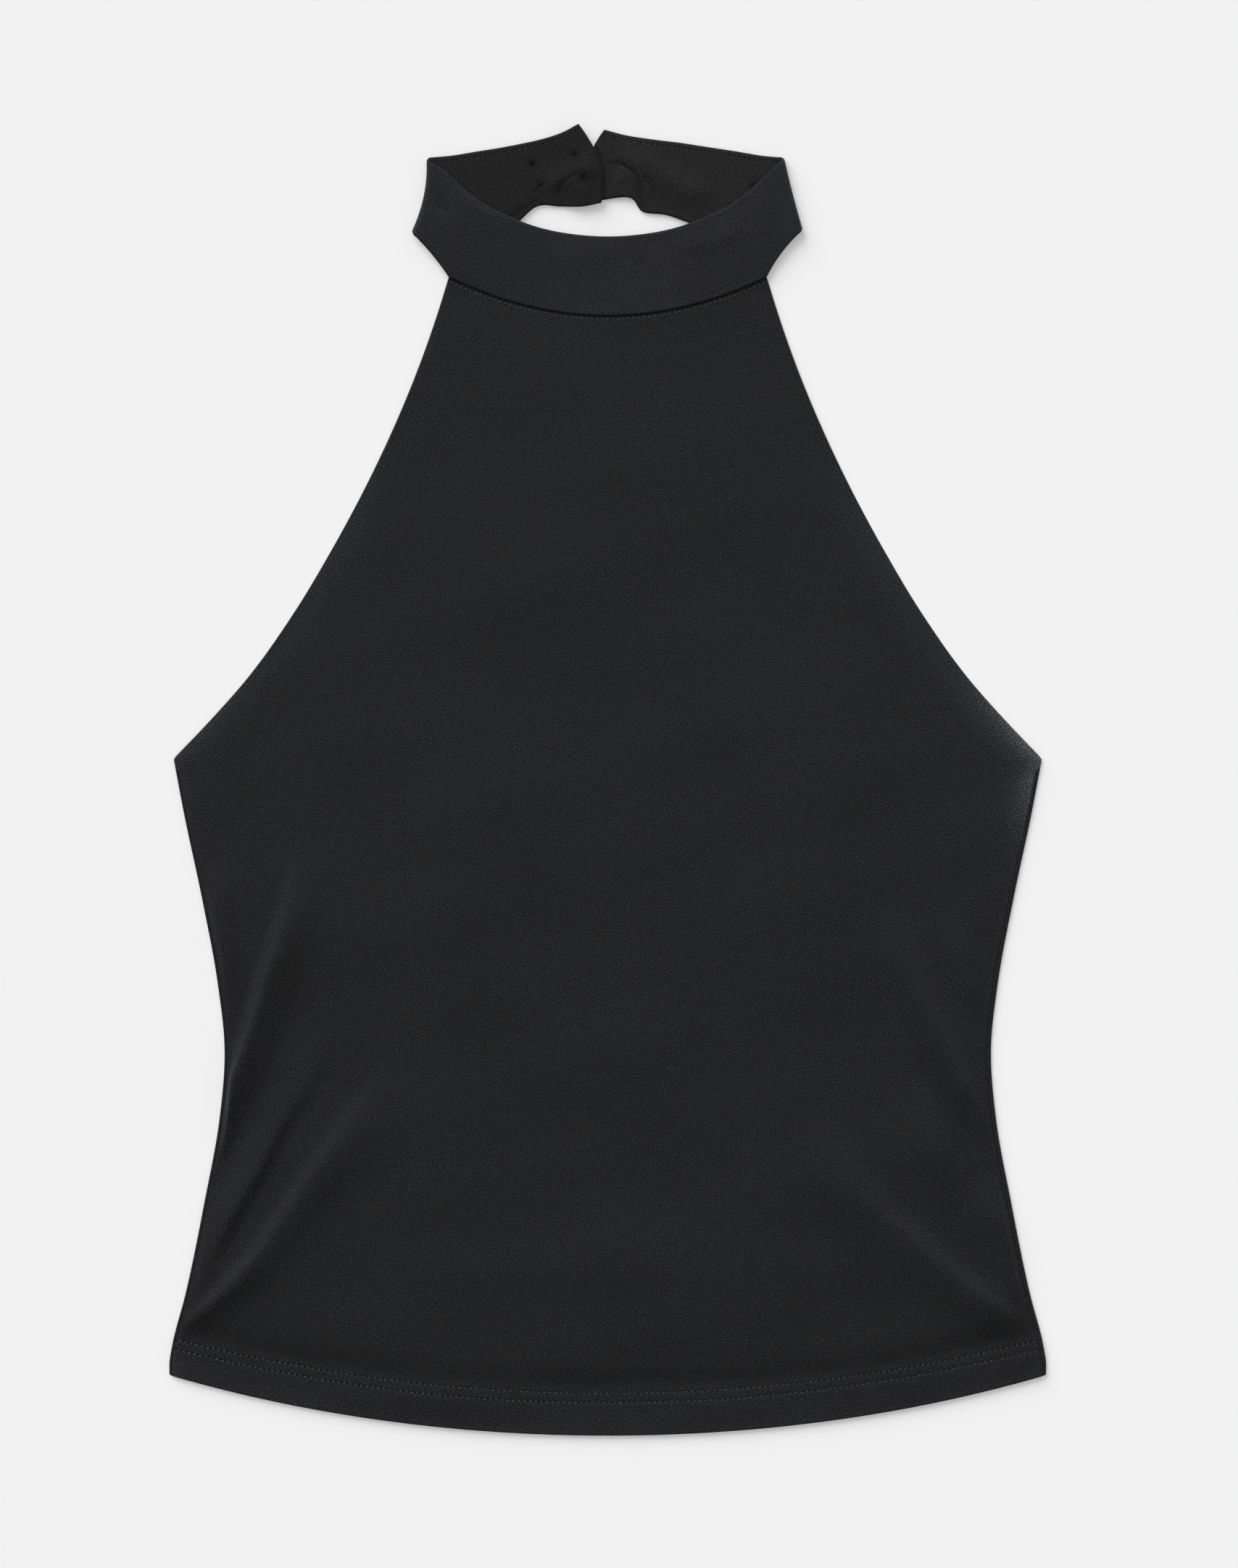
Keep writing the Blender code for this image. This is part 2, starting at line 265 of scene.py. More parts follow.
def in_scene(name, data):
    """A new object of the scene, at the origin."""
    made = bpy.data.objects.new(name, data)
    bpy.context.scene.collection.objects.link(made)
    return made


def cloth_mesh(name, face, back, cut, sewing, tone_and_painted_light, material):
    """A closed piece of cloth between two grids of points that share their border."""
    rows, columns = face.shape[:2]
    face_index = np.arange(rows * columns).reshape(rows, columns)
    back_index = face_index.copy()
    inside = (rows - 2, columns - 2)
    back_index[1:-1, 1:-1] = rows * columns + np.arange(inside[0] * inside[1]).reshape(inside)
    points = np.concatenate([face.reshape(-1, 3), back[1:-1, 1:-1].reshape(-1, 3)]) * MM

    def corners(index):
        return np.stack([index[:-1, :-1], index[:-1, 1:], index[1:, 1:], index[1:, :-1]], -1).reshape(-1, 4)

    quads = np.concatenate([corners(face_index), corners(back_index)[:, ::-1]])
    a, b, c, d = (points[quads[:, k]] for k in range(4))
    volume = np.einsum("ij,ij->i", a, np.cross(b, c) + np.cross(c, d)).sum()
    if volume < 0:
        quads = quads[:, ::-1]
    mesh = bpy.data.meshes.new(name)
    mesh.from_pydata(points.tolist(), [], quads.tolist())
    corner_points = np.empty(len(mesh.loops), int)
    mesh.loops.foreach_get("vertex_index", corner_points)
    for label, grid in (("cut", cut), ("sewing", sewing)):
        both = np.concatenate([grid.reshape(-1, 2), grid[1:-1, 1:-1].reshape(-1, 2)]) * MM
        layer = mesh.uv_layers.new(name=label)
        layer.data.foreach_set("uv", both[corner_points].astype(np.float32).ravel())
    # The tone, with its painted light and shade, goes to the material as a point attribute
    tone = mesh.attributes.new("tone_and_painted_light", "FLOAT", "POINT")
    both = np.concatenate([tone_and_painted_light.ravel(), tone_and_painted_light[1:-1, 1:-1].ravel()])
    tone.data.foreach_set("value", both.astype(np.float32))
    mesh.shade_smooth()
    mesh.materials.append(material)
    return in_scene(name, mesh)


class NodeValue:
    """One value in a tree of nodes. The usual signs add Math nodes."""

    def __init__(self, tree, socket=None):
        self.tree = tree
        self.socket = socket

    def node(self, kind, settings=(), inputs=(), output=0):
        made = self.tree.nodes.new(kind)
        for name, value in dict(settings).items():
            setattr(made, name, value)
        for name, value in dict(inputs).items():
            if isinstance(value, NodeValue):
                self.tree.links.new(value.socket, made.inputs[name])
            else:
                made.inputs[name].default_value = value
        return NodeValue(self.tree, made.outputs[output])

    def beside(self, output):
        """Another output of the same node."""
        return NodeValue(self.tree, self.socket.node.outputs[output])

    def maths(self, operation, *values):
        return self.node("ShaderNodeMath", {"operation": operation}, enumerate(values))

    def __add__(self, other):
        return self.maths("ADD", self, other)

    __radd__ = __add__

    def __sub__(self, other):
        return self.maths("SUBTRACT", self, other)

    def __rsub__(self, other):
        return self.maths("SUBTRACT", other, self)

    def __mul__(self, other):
        return self.maths("MULTIPLY", self, other)

    __rmul__ = __mul__

    def __truediv__(self, other):
        return self.maths("DIVIDE", self, other)

    def fraction(self):
        return self.maths("FRACT", self)

    def size(self):
        return self.maths("ABSOLUTE", self)

    def at_least(self, other):
        return self.maths("MAXIMUM", self, other)

    def bell(self):
        """1 where the value is 0, and falling off smoothly on both sides."""
        return self.maths("EXPONENT", 0 - self * self)

    def noise(self, grain, detail=1.0):
        """A cloudy pattern about 0, mostly within 0.5 of it, with grains of this many millimetres."""
        inputs = {"Vector": self, "Scale": 1.0 / (grain * MM), "Detail": detail, "Roughness": 0.5}
        return self.node("ShaderNodeTexNoise", inputs=inputs) - 0.5


def new_material(name):
    """A material and its shader."""
    material = bpy.data.materials.new(name)
    material.use_nodes = True
    return material, material.node_tree.nodes["Principled BSDF"]


def jersey(name, colour, grain=1.0, sewn_rows=()):
    """Black crepe jersey: fine wales of looped stitches under a pebbled grain, dull, with a soft pile. Its
    colour is scaled by the cloth's tone attribute, which carries painted light and shade.
    """
    wale, course = 0.80, 1.17
    pebble_size, mottle_size, cloud_size = 0.52, 4.5, 60.0
    hole_size = 0.50
    material, shader = new_material(name)
    tree = material.node_tree
    cut = NodeValue(tree).node("ShaderNodeUVMap", {"uv_map": "cut"})
    across = cut.node("ShaderNodeSeparateXYZ", inputs={"Vector": cut})
    upward = across.beside("Y")
    side = ((across / (wale * MM)).fraction() - 0.5).size() * 2
    rib = 1 - side * side
    loop = ((upward / (course * MM) + side * 0.5).fraction() - 0.5).size() * 2
    pebble = cut.noise(pebble_size, 1.0) * grain
    mottle = cut.noise(mottle_size, 2.0)
    cloud = cut.noise(cloud_size, 1.0)
    height = rib * 0.35 - loop * loop * 0.10 + pebble * 5.5
    # The cloth's tone attribute carries painted highlights and painted shade
    tone_and_painted_light = cut.node("ShaderNodeAttribute", {"attribute_name": "tone_and_painted_light"}, output="Fac")
    # Painted light and shade on the knit's relief: the tops of ribs and pebbles lighter, the grooves darker,
    # as the bump shapes them
    painted_relief_light = (0.78 + rib * 0.34 - loop * 0.05 + pebble * 9.5).at_least(0.12)
    tone = tone_and_painted_light * painted_relief_light * (1 + mottle * 0.45) * (1 + cloud * 0.14)
    sewing = cut.node("ShaderNodeUVMap", {"uv_map": "sewing"})
    along = cut.node("ShaderNodeSeparateXYZ", inputs={"Vector": sewing})
    for row, pitch in sewn_rows:
        between = ((along / (pitch * MM)).fraction() - 0.5) * (pitch / hole_size)
        hole = ((along.beside("Y") - row * MM) / (hole_size * MM)).bell() * between.bell()
        # Each needle hole is sunk by the bump and darkened with painted shade
        height = height - hole * 3.0
        tone = tone * (1 - hole * 0.85)
    shade = cut.node("ShaderNodeVectorMath", {"operation": "SCALE"}, {0: colour, "Scale": tone})
    bump = cut.node("ShaderNodeBump", inputs={"Height": height, "Strength": 0.75, "Distance": 0.14 * MM})
    rough = 0.62 + pebble * 0.5
    tree.links.new(shade.socket, shader.inputs["Base Color"])
    tree.links.new(bump.socket, shader.inputs["Normal"])
    tree.links.new(rough.socket, shader.inputs["Roughness"])
    shader.inputs["Specular IOR Level"].default_value = 0.12
    shader.inputs["Sheen Weight"].default_value = 0.04
    shader.inputs["Sheen Roughness"].default_value = 0.40
    shader.inputs["Sheen Tint"].default_value = (0.85, 0.88, 1.0, 1.0)
    return material


# The steps between stitches round the hem and under the neck seam, and the neck row's level above the hem
STITCH_PITCH = 2.6
NECK_PITCH = 2.4
NECK_ROW = NECK_Y - NECK_STITCH - HEM_Y
panel_jersey = jersey("panel crepe jersey", (0.0096, 0.0100, 0.0110),
                      sewn_rows=[*((row, STITCH_PITCH) for row in HEM_ROWS), (NECK_ROW, NECK_PITCH)])

# Rows of points stand closer together at the hem's edge, its sewn rows and the neck
EDGE_STEPS = (0.0, 0.05, 0.2, 0.5, 0.95, 1.5)
SEWN_STEPS = (-0.9, -0.5, -0.25, 0.0, 0.25, 0.5, 0.9)
NECK_STEPS = (2.1, 1.7, NECK_STITCH, 1.0, 0.7, 0.4, 0.1, -0.15, -0.35, -0.5)
SIDE_STEPS = (0.0, 0.05, 0.2, 0.45, 0.8, 1.3, 2.0, 2.9, 4.0, 5.3, 6.8, 8.4,
              10.0, 12.0, 14.0, 16.0, 18.0, 20.0)
MIDDLE_POINTS = 116
CROWDING = 0.35
# The sewn rows start this many points in from the panel's sides
FIRST_SEWN = 6


def front_levels():
    levels = [HEM_Y + step for step in EDGE_STEPS] + [HEM_Y + step for step in spaced(2.4, 13.6, 8)]
    levels += [HEM_Y + row + step for row in HEM_ROWS for step in SEWN_STEPS]
    levels += spaced(HEM_Y + 22.0, -22.0, 117) + spaced(-19.5, 0.5, 9)
    levels += spaced(2.0, 17.0, 11) + spaced(19.5, 59.5, 17) + spaced(64.0, 208.0, 34)
    levels += spaced(211.0, NECK_Y - 2.8, 8) + [NECK_Y - step for step in NECK_STEPS]
    return levels


def front_columns(edge_west, edge_east):
    """Where a row's points stand across the panel, closer together towards its sides."""
    west = [edge_west + step for step in SIDE_STEPS]
    east = [edge_east - step for step in reversed(SIDE_STEPS)]
    middle = np.array(spaced(-1.0, 1.0, MIDDLE_POINTS + 2))[1:-1]
    middle = (1.0 + CROWDING) * middle - CROWDING * middle**3
    centre = 0.5 * (west[-1] + east[0])
    return np.array(west + list(centre + 0.5 * (east[0] - west[-1]) * middle) + east)


# How far in from a side, the hem's edge and the neck seam the cloth takes to rise to its creases
SIDE_RISE = 3.2
HEM_RISE = 14.0
NECK_RISE = 25.0
# It never sinks far below this, where the back panel lies under it, and it nears that level softly
LEAST_LIFT = -0.45
SOFT_LIFT = 0.3
# Above the sewn hem the cloth puffs up a little, and the hem's edge curls up
HEM_PUFF = 1.0
HEM_CURL = 0.35
# How far the turned armhole edge falls away, and how far the neck seam pulls the cloth in
TURNED_FALL = 0.95
TURNED_REACH = 11.0
NECK_DIP = 0.85


def above_hem(from_hem):
    """1 at the sewn hem and just above it, and 0 from 70 mm up."""
    return eased((70.0 - from_hem) / 45.0)


def on_armhole(y_side):
    """0 along the side seams and 1 along the armholes."""
    return eased((y_side - UNDERARM_Y + 3.0) / 8.0)


def turned_edge(y_side):
    """1 where the armhole's edge is softly turned, 0 along the side seams and up by the neck."""
    return on_armhole(y_side) * (1.0 - eased((y_side - 110.0) / 70.0))


def front_heights(x, y, y_side, from_side, from_outline):
    """How high the panel's face and its underside stand along a row."""
    from_hem = y_side - HEM_Y
    from_neck = NECK_Y - y_side
    lift = creases_at(x, y, BODY_CREASES) + waves_at(x, y, BODY_WAVES)
    lift *= eased(from_side / SIDE_RISE) * eased(from_hem / HEM_RISE) * eased(from_neck / NECK_RISE)
    puff = eased((from_hem - HEM_TURN - 0.5) / 13.0) * above_hem(from_hem)
    lift += HEM_PUFF * puff * eased(from_side / 6.0)
    lift += HEM_CURL * (1.0 - np.clip(from_hem / 3.5, 0.0, 1.0)) ** 2
    lift = 0.5 * (lift + LEAST_LIFT + np.sqrt((lift - LEAST_LIFT) ** 2 + SOFT_LIFT**2))
    top = crown_z(y_side) + lift - sewn_dip(from_hem)
    top -= turned_edge(y_side) * TURNED_FALL * (1.0 - np.clip(from_side / TURNED_REACH, 0.0, 1.0)) ** 2
    top -= (1.0 - on_armhole(y_side)) * side_drop(from_outline, y_side)
    top -= NECK_DIP * np.exp(-((from_neck / 0.8) ** 2))
    # Its underside lies over the back panel, and above the underarm on the surface
    on_surface = eased((y_side - UNDERARM_Y) / 40.0)
    over_back = BACK_REST_Z + 0.85 + 0.4 * hem_share(from_hem)
    bottom = np.maximum(top - 0.9, over_back) * (1.0 - on_surface) + 0.1 * on_surface
    return top, bottom


def front_tone_and_painted_light(x, y_side, from_side):
    """The tone along a row, with painted light and shade. Painted highlights lie along the armhole edges,
    round the underarms and at the hem's corners, and painted shade lies above the hem and in the neck seam's
    groove."""
    east = x > 0.0
    from_hem = y_side - HEM_Y
    from_neck = NECK_Y - y_side
    near_side = 1.0 - np.clip(from_side / 18.0, 0.0, 1.0)
    # Painted highlights along the turned armhole edges, stronger on the east
    tone = 1.0 + np.where(east, 0.50, 0.30) * turned_edge(y_side) * near_side
    # Painted highlights round the underarms, much stronger on the east
    near_underarm = np.exp(-(((y_side - UNDERARM_Y + 4.0) / 27.0) ** 2))
    tone += near_underarm * np.where(east, 5.8, 0.6) * np.exp(-from_side / np.where(east, 5.0, 3.5))
    # The double hem is a little lighter, and painted shade lies above its sewn rows
    tone += 0.05 * hem_share(from_hem) - 0.17 * eased((from_hem - 18.0) / 4.0) * above_hem(from_hem)
    # Painted highlights at the hem's corners, stronger on the west
    corner = np.where(east, 0.3, 0.9) * np.exp(-from_side / 3.5 - max(from_hem - 8.0, 0.0) / 12.0)
    tone += corner * hem_share(from_hem)
    # Painted shade in the groove of the neck seam, and the cloth a little darker towards the seam
    tone -= 0.88 * np.exp(-((from_neck / np.where(east, 0.75, 0.6)) ** 4))
    return tone - 0.05 * eased((18.0 - from_neck) / 14.0)


def front_panel():
    face = []
    back = []
    sewing = []
    tone_and_painted_light = []
    for y_side in front_levels():
        outline = half_width(y_side)
        seamed = 1.0 - eased((y_side - 3.0) / 4.0)
        west = -outline + seamed * (SEAM_INSETS[0] + 0.5 * GAP)
        east = outline - seamed * (SEAM_INSETS[1] + 0.5 * GAP)
        x = front_columns(west, east)
        y = row_y(y_side, x / outline)
        from_side = np.minimum(x - west, east - x)
        from_hem = y_side - HEM_Y
        from_neck = NECK_Y - y_side
        top, bottom = front_heights(x, y, y_side, from_side, outline - np.abs(x))
        # Each edge closes on a half round
        edge = np.minimum(rounded(from_side, 0.8), rounded(np.minimum(from_hem, from_neck + 0.5), 0.9))
        middle = bottom + 0.42 * (top - bottom)
        face.append(np.stack([x, y, middle + (top - middle) * edge], -1))
        back.append(np.stack([x, y, middle + (bottom - middle) * edge], -1))
        along = running(np.stack([x, y], -1), 0)
        sewing.append(np.stack([along - along[FIRST_SEWN], np.full_like(x, from_hem)], -1))
        tone_and_painted_light.append(front_tone_and_painted_light(x, y_side, from_side))
    face = np.array(face)
    piece = cloth_mesh("front_panel_cloth", face, np.array(back), face[..., :2], np.array(sewing),
                       np.array(tone_and_painted_light), panel_jersey)
    return piece, face


front, front_face = front_panel()
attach(front, "root")
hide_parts("front_panel")

# Back panel. One piece of the same jersey under the front, underarm to hem. It is sewn to the front at both
# sides, and its edges roll round onto the front, so each side seam shows as a groove inside the outline.

BACK_TOP_Y = 9.0
# Its sewn rows start this many points in from a seam, just past the roll of the side
BACK_FIRST_SEWN = 17
# The thickness of its wall, how much thicker it is at the hem, and the room inside the roll
BACK_WALL = 0.8
HEM_WALL = 0.4
ROLL_ROOM = 0.08


def back_levels():
    levels = [HEM_Y + step for step in EDGE_STEPS] + [HEM_Y + step for step in spaced(2.4, 13.6, 5)]
    levels += [HEM_Y + row + step for row in HEM_ROWS for step in SEWN_STEPS]
    levels += spaced(HEM_Y + 23.0, -4.0, 72) + spaced(-2.5, BACK_TOP_Y - 2.0, 6)
    levels += [BACK_TOP_Y - step for step in reversed(EDGE_STEPS)]
    return levels


def back_side(y_side, inset):
    """One half of a row of the back panel's outer face, from the middle round the side to the seam."""
    outline = half_width(y_side)
    wall = BACK_WALL + HEM_WALL * float(hem_share(y_side - HEM_Y))
    rolled = 1.0 - float(eased((y_side - 1.0) / 5.0))
    turn_radius = wall + ROLL_ROOM
    rest = BACK_REST_Z + 0.7 * float(sewn_dip(y_side - HEM_Y))
    path = [(x, rest) for x in spaced(0.0, outline - 12.0, 24)]
    path += [(x, rest) for x in spaced(outline - 11.0, outline - turn_radius, 8)]
    turns = np.radians(spaced(15.0, 90.0, 6))
    path += [(outline - turn_radius * (1.0 - np.sin(turn)), rest + turn_radius * (1.0 - np.cos(turn)))
             for turn in turns]
    edge_z = rest + turn_radius
    fall = float(side_drop(0.0, y_side))
    for distance in spaced(0.0, max(inset * rolled, 0.3), 9)[1:]:
        rise = (fall - float(side_drop(distance, y_side))) / fall
        path.append((outline - distance, edge_z + rise * (float(crown_z(y_side)) - edge_z)))
    return np.array(path), wall


def back_panel():
    outer_rows = []
    inner_rows = []
    cut = []
    sewing = []
    tone_and_painted_light = []
    for y_side in back_levels():
        west, wall = back_side(y_side, SEAM_INSETS[0])
        east, _ = back_side(y_side, SEAM_INSETS[1])
        outer = np.concatenate([west[:0:-1] * (-1.0, 1.0), east])
        along = running(outer, 0)
        lean = np.gradient(outer, along, axis=0)
        lean /= np.hypot(*lean.T)[:, None]
        inner = outer + wall * np.stack([-lean[:, 1], lean[:, 0]], -1)
        from_hem = y_side - HEM_Y
        ends = float(rounded(min(from_hem, BACK_TOP_Y - y_side), 0.6))
        shut = rounded(np.minimum(along, along[-1] - along), 0.4)[:, None] * ends
        middle = 0.5 * (outer + inner)
        outline = half_width(y_side)
        for rows, section in ((outer_rows, outer), (inner_rows, inner)):
            x, z = (middle + (section - middle) * shut).T
            rows.append(np.stack([x, row_y(y_side, x / outline), z], -1))
        cut.append(np.stack([along - 0.5 * along[-1], outer_rows[-1][:, 1]], -1))
        sewing.append(np.stack([along - along[BACK_FIRST_SEWN], np.full_like(along, from_hem)], -1))
        tone_and_painted_light.append(np.full_like(along, 1.0 + 0.05 * float(hem_share(from_hem))))
    outer_face = np.array(outer_rows)
    piece = cloth_mesh("back_panel_cloth", outer_face, np.array(inner_rows), np.array(cut), np.array(sewing),
                       np.array(tone_and_painted_light), panel_jersey)
    return piece, outer_face


back, back_face = back_panel()
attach(back, "root")
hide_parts("back_panel")

# Collar. A band of two plies of the jersey, sewn to the neck, folded flat at both sides of it and open at
# centre back, where its left end laps over its right end. The outer ply shows on the front, and the facing
# inside the back of the neck.

COLLAR_PLY = 0.8
COLLAR_HEIGHT = 36.0
# The radius of the side folds, and half the thickness of the band
COLLAR_TURN = 1.15
BAND_HALF = COLLAR_PLY + 0.5 * GAP
# The band's front is sewn on up to this share of the way to its side folds
SEWN_SHARE = 0.8
# At a side fold, half the way from the front's top edge to the back's, and how far the front's low end lies
# below the back's
TOP_EDGE_SPREAD = 1.3
LOW_EDGE_DROP = 3.0
BAND_STEPS = (0.0, 0.0015, 0.006, 0.014, 0.026, 0.042, 0.065)
BAND_SHARES = [*BAND_STEPS, *spaced(0.085, 0.915, 34), *[1.0 - step for step in reversed(BAND_STEPS)]]

SideFold = namedtuple("SideFold", "top_x top_y tip_x tip_y hollow undercut")
FrontSection = namedtuple("FrontSection", "share top_x top_y z_top z_mid z_low")
BackSection = namedtuple("BackSection", "share top_x top_y low_x low_y bulge z")

LEFT_FOLD = SideFold(-83.6, 286.6, -90.5, 254.0, 2.2, 0.6)
RIGHT_FOLD = SideFold(81.4, 286.8, 89.9, 255.4, 0.3, 1.1)

COLLAR_FRONT = (
    FrontSection(0.00, 0.0, 251.0, 1.15, 1.15, 1.15),
    FrontSection(0.25, 23.5, 253.2, 1.5, 1.3, 1.15),
    FrontSection(0.50, 43.5, 259.2, 2.95, 2.2, 1.15),
    FrontSection(0.65, 56.5, 265.6, 3.05, 2.8, 1.3),
    FrontSection(0.80, 67.5, 273.9, 3.15, 3.05, 1.9),
    FrontSection(0.90, 74.3, 280.4, 3.2, 3.15, 2.7),
)

COLLAR_BACK_LEFT = (
    BackSection(0.15, -71.5, 288.4, -70.0, 252.5, 0.0, 0.95),
    BackSection(0.30, -60.0, 290.3, -56.0, 252.3, 0.0, 0.95),
    BackSection(0.45, -50.5, 291.8, -44.0, 255.6, 0.0, 0.95),
    BackSection(0.60, -41.0, 293.6, -33.0, 264.6, 0.0, 0.95),
    BackSection(0.76, -31.0, 295.8, -22.0, 264.8, 0.7, 0.95),
    BackSection(0.89, -21.3, 298.6, -11.8, 264.5, 3.0, 3.05),
    BackSection(1.00, -13.5, 302.7, -3.1, 266.2, 4.6, 3.05),
)

COLLAR_BACK_RIGHT = (
    BackSection(0.15, 71.0, 288.3, 70.5, 250.7, 0.0, 0.95),
    BackSection(0.30, 58.5, 290.4, 55.5, 251.7, 0.0, 0.95),
    BackSection(0.45, 46.0, 292.3, 41.5, 255.8, 0.0, 0.95),
    BackSection(0.60, 33.0, 294.3, 27.0, 260.8, 0.0, 0.95),
    BackSection(0.73, 21.5, 295.7, 16.0, 262.4, 0.0, 0.95),
    BackSection(0.85, 10.0, 297.4, 10.3, 268.6, -1.0, 0.95),
    BackSection(1.00, -1.6, 300.3, -9.0, 266.8, -4.5, 0.95),
)

# Soft creases of the band where it lies open behind the neck, its pinched ones, and those of its front
BACK_CREASES = (
    Crease(1.2, 6.0, 4.0, 1.0, 0.2, 0.4, ((-3, 283.5), (-13, 280), (-24, 275.5), (-34, 270))),
    Crease(0.7, 5.0, 4.0, 1.0, 0.3, 0.3, ((-19, 271), (-12, 272.5), (-6, 272))),
    Crease(0.9, 7.0, 4.0, 1.0, 0.3, 0.1, ((2, 281), (6, 279.5), (9, 276), (10, 262))),
    Crease(1.3, 7.0, 6.0, 1.0, 0.3, 0.3, ((0, 291), (15, 284.6), (34.4, 273), (53.5, 266.7))),
)
BACK_PINCHES = (
    Crease(-0.6, 1.1, 0.9, 1.0, 0.35, 0.1, ((-8, 281), (-14, 279.3), (-19, 276.8), (-22, 273.5), (-23, 263))),
    Crease(-1.1, 1.0, 1.2, 1.0, 0.2, 0.1, ((-29, 270.2), (-38, 265.6), (-48, 259.2))),
    Crease(-1.0, 1.1, 1.0, 1.0, 0.2, 0.15,
           ((-2, 285), (6.7, 284.3), (11.8, 280.6), (14.9, 274.3), (16, 263))),
    Crease(-0.5, 0.9, 0.9, 1.0, 0.3, 0.3, ((15.5, 281), (19.5, 275), (23, 267.5))),
    Crease(-0.8, 0.8, 0.8, 1.0, 0.1, 0.1,
           ((-8, 297), (-3.8, 289.4), (-2.6, 283.3), (-2.4, 277.2), (-2.6, 264))),
)
FRONT_CREASES = (
    Crease(-1.2, 1.5, 2.4, 1.0, 0.2, 0.3, ((-82, 277), (-79, 268), (-75, 259))),
    Crease(0.5, 5.0, 5.0, 1.0, 0.3, 0.3, ((-70, 275), (-58, 262), (-50, 250))),
    Crease(0.5, 4.0, 6.0, 1.0, 0.3, 0.3, ((30, 246), (48, 248), (66, 256))),
    Crease(0.4, 6.0, 8.0, 1.0, 0.3, 0.3, ((-30, 240), (-12, 243), (8, 240))),
)


def stepped(table, at):
    """The last column of a table, level at each row and eased in between, so that it never overshoots."""
    for here, there in zip(table, table[1:]):
        if at <= there[0]:
            return here[-1] + (there[-1] - here[-1]) * float(eased((at - here[0]) / (there[0] - here[0])))
    return table[-1][-1]


def neck_seam_y(x):
    return row_y(NECK_Y, x / NECK_HALF)


def at_fold(fold, turn):
    """The band's top, low end and height round a side fold, from turn 0 at its front to pi at its back."""
    top = np.array((fold.top_x, fold.top_y))
    tip = np.array((fold.tip_x, fold.tip_y))
    line = (tip - top) / np.linalg.norm(tip - top)
    out = np.sign(fold.top_x) * np.array((-line[1], line[0]))
    to_front = np.cos(turn)
    reach = (COLLAR_TURN * np.sin(turn) - COLLAR_TURN - BAND_HALF) * out
    top = top + reach - (0.0, TOP_EDGE_SPREAD * to_front)
    low = tip + reach - (0.0, LOW_EDGE_DROP * 0.5 * (1.0 + to_front))
    return top, low, BAND_HALF + COLLAR_TURN * (1.0 + to_front)


def band_row(top, low, bulge, heights):
    """Points down the band's middle from its top edge to its lower edge, with a bulge along X."""
    z_top, z_mid, z_low = heights
    v = np.array(BAND_SHARES)
    x = top[0] + v * (low[0] - top[0]) + 4.0 * v * (1.0 - v) * bulge
    y = top[1] + v * (low[1] - top[1])
    z = z_top * (1 - v) * (1 - 2 * v) + z_mid * 4 * v * (1 - v) + z_low * v * (2 * v - 1)
    return np.stack([x, y, z], -1)


def back_band(table, fold, shares):
    """Rows of the collar's back, from its side fold towards its end."""
    top, low, z = at_fold(fold, np.pi)
    start = BackSection(0.0, *top, *low, -fold.hollow * np.sign(fold.top_x), z)
    sections = (start, *table)
    rows = []
    for share in shares:
        top_x, top_y, low_x, low_y, bulge, _ = smooth(sections, share)
        z = stepped(sections, share)
        row = band_row((top_x, top_y), (low_x, low_y), bulge, (z, z, z))
        row[:, 2] += float(eased(share / 0.2)) * creases_at(row[:, 0], row[:, 1], BACK_CREASES + BACK_PINCHES)
        row[:, 2] = np.maximum(row[:, 2], BAND_HALF)
        rows.append(row)
    return rows


def front_low_edge(share):
    """The lower edge of the collar's front: sewn to the front panel, then free up to the side fold."""
    side = np.sign(share)
    if abs(share) <= SEWN_SHARE:
        x = NECK_HALF * share / SEWN_SHARE
        return x, neck_seam_y(x)
    fold = LEFT_FOLD if side < 0 else RIGHT_FOLD
    _, tip, _ = at_fold(fold, 0.0)
    reach = (abs(share) - SEWN_SHARE) / (1.0 - SEWN_SHARE)
    inward = 4.0 * reach * (1.0 - reach) * fold.undercut
    x = side * NECK_HALF + reach * (tip[0] - side * NECK_HALF) - 0.8 * side * inward
    return x, NECK_Y + reach * (tip[1] - NECK_Y) + 0.6 * inward


def front_band(shares):
    """Rows of the collar's front, from its left fold to its right fold."""
    ends = []
    for fold in (LEFT_FOLD, RIGHT_FOLD):
        top, _, z = at_fold(fold, 0.0)
        ends.append(FrontSection(np.sign(fold.top_x), *top, z, z, z))
    right = [*COLLAR_FRONT[1:], ends[1]]
    left = [s._replace(share=-s.share, top_x=-s.top_x) for s in reversed(COLLAR_FRONT[1:])]
    sections = [ends[0], *left, COLLAR_FRONT[0], *right]
    rows = []
    for share in shares:
        top_x, top_y = smooth(sections, share)[:2]
        heights = [stepped([(s.share, z) for s, z in zip(sections, column)], share) for column in
                   zip(*[(s.z_top, s.z_mid, s.z_low) for s in sections])]
        fold = LEFT_FOLD if share < 0 else RIGHT_FOLD
        bulge = -np.sign(share) * fold.hollow * float(eased((abs(share) - 0.75) / 0.25))
        row = band_row((top_x, top_y), front_low_edge(share), bulge, heights)
        body = eased((1.0 - abs(share)) / 0.08) * eased(np.array(BAND_SHARES) / 0.1)
        row[:, 2] += body * creases_at(row[:, 0], row[:, 1], FRONT_CREASES)
        rows.append(row)
    return rows


def turn_rows(fold, turns):
    """Rows round a side fold, by the angle turned from the front's side, in degrees."""
    rows = []
    for turn in np.radians(turns):
        top, low, z = at_fold(fold, turn)
        rows.append(band_row(top, low, -fold.hollow * np.sign(fold.top_x), (z, z, z)))
    return rows


